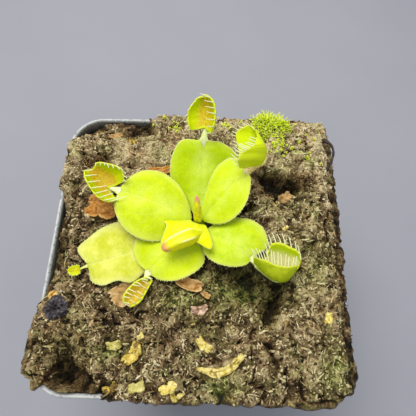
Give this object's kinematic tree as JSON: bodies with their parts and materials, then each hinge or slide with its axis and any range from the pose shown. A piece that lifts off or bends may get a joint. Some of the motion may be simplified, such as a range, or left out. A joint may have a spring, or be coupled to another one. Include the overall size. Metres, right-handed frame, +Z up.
{
  "type": "potted venus flytrap",
  "caption": "Young venus flytrap rosette with toothed snap traps, growing in peat soil with moss in a square plastic nursery pot.",
  "frame": {"origin": "middle of the pot's flat base, on the surface that it stands on", "axes": "+Z up along the pot's axis, +Y towards the back of the plant, +X to its right"},
  "size_m": [0.09, 0.09, 0.1132],
  "materials": {
    "pot_plastic": "satin dark grey plastic, worn pale and dusty at the rim",
    "peat_soil": "matt damp peat with fibres and green algae",
    "rhizome": "matt pale bulb scales",
    "leaf": "satin yellow-green leaf with paler midrib, orange inside the traps",
    "young_leaf": "satin yellow young leaf with pink tips",
    "moss": "matt bright moss needles",
    "dead_leaf": "dry brown papery leaf",
    "chip": "pale yellow wood chip",
    "pink_chip": "pinkish bark chip",
    "dark_litter": "dark damp root and peat lump"
  },
  "bodies": {
    "root": {"pot": "pot_plastic", "soil": "peat_soil", "rhizome": "rhizome", "leaf_lower_left": "leaf", "leaf_front": "leaf", "leaf_right": "leaf", "leaf_back": "leaf", "leaf_left": "leaf", "leaf_back_right": "leaf", "leaf_young": "young_leaf", "leaf_spear": "young_leaf", "moss_tuft_back_right": "moss", "moss_tuft_middle_right": "moss", "moss_tuft_back_left": "moss", "moss_tuft_back_middle": "moss", "moss_tuft_star": "moss", "dead_leaf_left": "dead_leaf", "dead_leaf_tan": "dead_leaf", "dead_leaf_curled": "dead_leaf", "dead_leaf_behind": "dead_leaf", "chip_curved": "chip", "chip_front_bright": "chip", "chip_front_left": "chip", "chip_middle": "chip", "chip_corner_left": "chip", "chip_pale_right": "chip", "chip_pink": "pink_chip", "stone_golden": "chip", "lump_dark": "dark_litter", "root_fibre": "dark_litter"}
  },
  "joints": []
}
